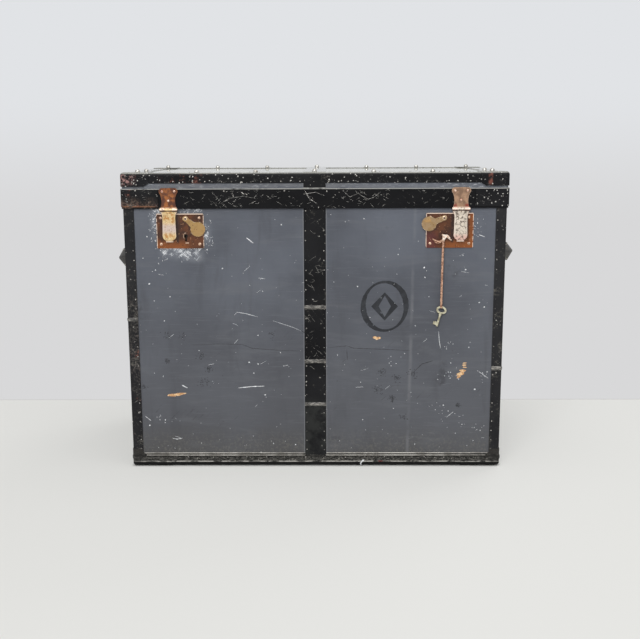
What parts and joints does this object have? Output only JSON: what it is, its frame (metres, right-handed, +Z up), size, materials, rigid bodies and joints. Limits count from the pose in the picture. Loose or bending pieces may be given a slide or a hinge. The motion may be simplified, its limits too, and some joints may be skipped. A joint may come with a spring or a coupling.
{
  "type": "travelling trunk",
  "caption": "Tall wooden travelling trunk under grey painted canvas, bound in black fibre, with hinged lid, hasp locks, swinging keyhole covers and leather side handles.",
  "frame": {"origin": "middle of the face that the middle skid stands on, at floor level", "axes": "+X along the width to the right-hand lock, -Y out of the front with the locks, +Z up"},
  "size_m": [0.9238, 0.4401, 0.6522],
  "materials": {
    "bare_wood": "planed softwood, unfinished",
    "canvas": "grey painted canvas, worn",
    "lining_paper": "plain buff lining paper",
    "black_fibre": "black vulcanised fibre, scuffed",
    "skid_wood": "hardwood, painted black",
    "rusty_brass": "browned and rusty brass plate",
    "pale_brass": "worn pale brass casting",
    "cover_brass": "dull yellow brass",
    "lock_steel": "plain steel",
    "dark_steel": "black japanned steel",
    "bright_steel": "nickelled steel, bright",
    "handle_leather": "dark stitched leather",
    "cord": "twisted pinkish brown cord"
  },
  "bodies": {
    "body": {"bottom_board": "bare_wood", "front_board": "bare_wood", "back_board": "bare_wood", "left_board": "bare_wood", "right_board": "bare_wood", "body_canvas": "canvas", "body_lining": "lining_paper", "rim_lip": "lock_steel", "corner_binding_front_left": "black_fibre", "corner_binding_front_right": "black_fibre", "corner_binding_back_left": "black_fibre", "corner_binding_back_right": "black_fibre", "bottom_binding": "black_fibre", "bottom_corner_caps": "black_fibre", "front_strap": "black_fibre", "back_strap": "black_fibre", "skid_front": "skid_wood", "skid_middle": "skid_wood", "skid_back": "skid_wood", "lock_plate_left": "rusty_brass", "lock_plate_right": "rusty_brass", "lock_case_left": "lock_steel", "lock_case_right": "lock_steel", "cover_pivots": "cover_brass", "body_rivets": "cover_brass", "handle_caps_left": "dark_steel", "handle_caps_right": "dark_steel", "hinge_body_leaf_left": "dark_steel", "hinge_body_leaf_right": "dark_steel", "hinge_pins": "dark_steel", "key": "cover_brass", "key_cord": "cord"},
    "lid": {"lid_top_board": "bare_wood", "lid_front_board": "bare_wood", "lid_back_board": "bare_wood", "lid_left_board": "bare_wood", "lid_right_board": "bare_wood", "lid_canvas": "canvas", "lid_lining": "lining_paper", "lid_edge_binding": "black_fibre", "lid_corners": "black_fibre", "valance": "black_fibre", "valance_corners": "black_fibre", "lid_strap": "black_fibre", "dome_studs": "bright_steel", "hasp_plate_left": "rusty_brass", "hasp_plate_right": "rusty_brass", "hasp_pins": "pale_brass", "hasp_rivets": "rusty_brass", "hinge_lid_leaf_left": "dark_steel", "hinge_lid_leaf_right": "dark_steel"},
    "hasp_left": {"hasp_left": "pale_brass"},
    "hasp_right": {"hasp_right": "pale_brass"},
    "keyhole_cover_left": {"keyhole_cover_left": "cover_brass"},
    "keyhole_cover_right": {"keyhole_cover_right": "cover_brass"},
    "handle_left": {"handle_left": "handle_leather"},
    "handle_right": {"handle_right": "handle_leather"},
    "lock_bolt_left": {"lock_bolt_left": "lock_steel"},
    "lock_bolt_right": {"lock_bolt_right": "lock_steel"}
  },
  "joints": [
    {"name": "lid_hinge", "type": "hinge", "parent": "body", "child": "lid", "pos_m": [0, 0.2169, 0.586], "axis": [-1, 0, 0], "range_deg": [0, 100]},
    {"name": "hasp_left_hinge", "type": "hinge", "parent": "lid", "child": "hasp_left", "pos_m": [-0.3075, -0.2162, 0.568], "axis": [-1, 0, 0], "range_deg": [0, 165]},
    {"name": "hasp_right_hinge", "type": "hinge", "parent": "lid", "child": "hasp_right", "pos_m": [0.3075, -0.2162, 0.568], "axis": [-1, 0, 0], "range_deg": [0, 165]},
    {"name": "keyhole_cover_left_swing", "type": "hinge", "parent": "body", "child": "keyhole_cover_left", "pos_m": [-0.273, -0.2125, 0.5494], "axis": [0, -1, 0], "range_deg": [-54, 26]},
    {"name": "keyhole_cover_right_swing", "type": "hinge", "parent": "body", "child": "keyhole_cover_right", "pos_m": [0.273, -0.2125, 0.5494], "axis": [0, 1, 0], "range_deg": [-37, 6]},
    {"name": "handle_left_swing", "type": "hinge", "parent": "body", "child": "handle_left", "pos_m": [-0.413, 0, 0.46], "axis": [0, -1, 0], "range_deg": [-74, 46]},
    {"name": "handle_right_swing", "type": "hinge", "parent": "body", "child": "handle_right", "pos_m": [0.413, 0, 0.46], "axis": [0, 1, 0], "range_deg": [-63, 57]},
    {"name": "lock_bolt_left_slide", "type": "slide", "parent": "body", "child": "lock_bolt_left", "axis": [-1, 0, 0], "range_m": [0, 0.008]},
    {"name": "lock_bolt_right_slide", "type": "slide", "parent": "body", "child": "lock_bolt_right", "axis": [1, 0, 0], "range_m": [0, 0.008]}
  ]
}
